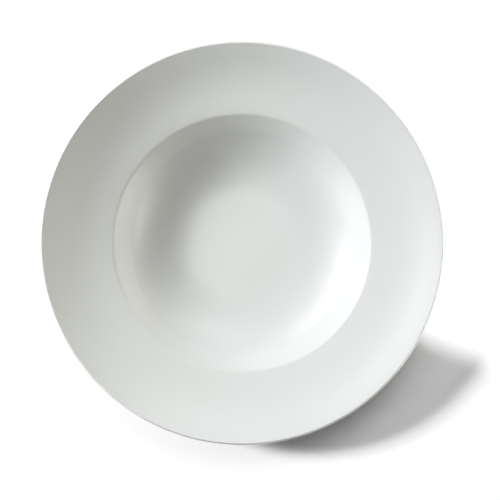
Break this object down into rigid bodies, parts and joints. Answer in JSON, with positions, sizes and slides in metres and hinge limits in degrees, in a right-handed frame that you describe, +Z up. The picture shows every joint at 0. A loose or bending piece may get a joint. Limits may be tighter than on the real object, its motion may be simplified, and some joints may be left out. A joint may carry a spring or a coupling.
{
  "type": "pasta plate",
  "caption": "Round white porcelain pasta plate: a deep well with a crease ring and rounded lip, a wide rising rim, and a foot ring to stand on.",
  "frame": {"origin": "centre of the plate on the surface that it stands on", "axes": "+Z up along the plate's axis; X and Y lie along any two diameters at right angles"},
  "size_m": [0.3, 0.3, 0.0595],
  "materials": {
    "porcelain": "matte",
    "glaze": "gloss"
  },
  "bodies": {
    "root": {"porcelain_body": "porcelain", "glaze_coat": "glaze", "base_glaze": "glaze"}
  },
  "joints": []
}
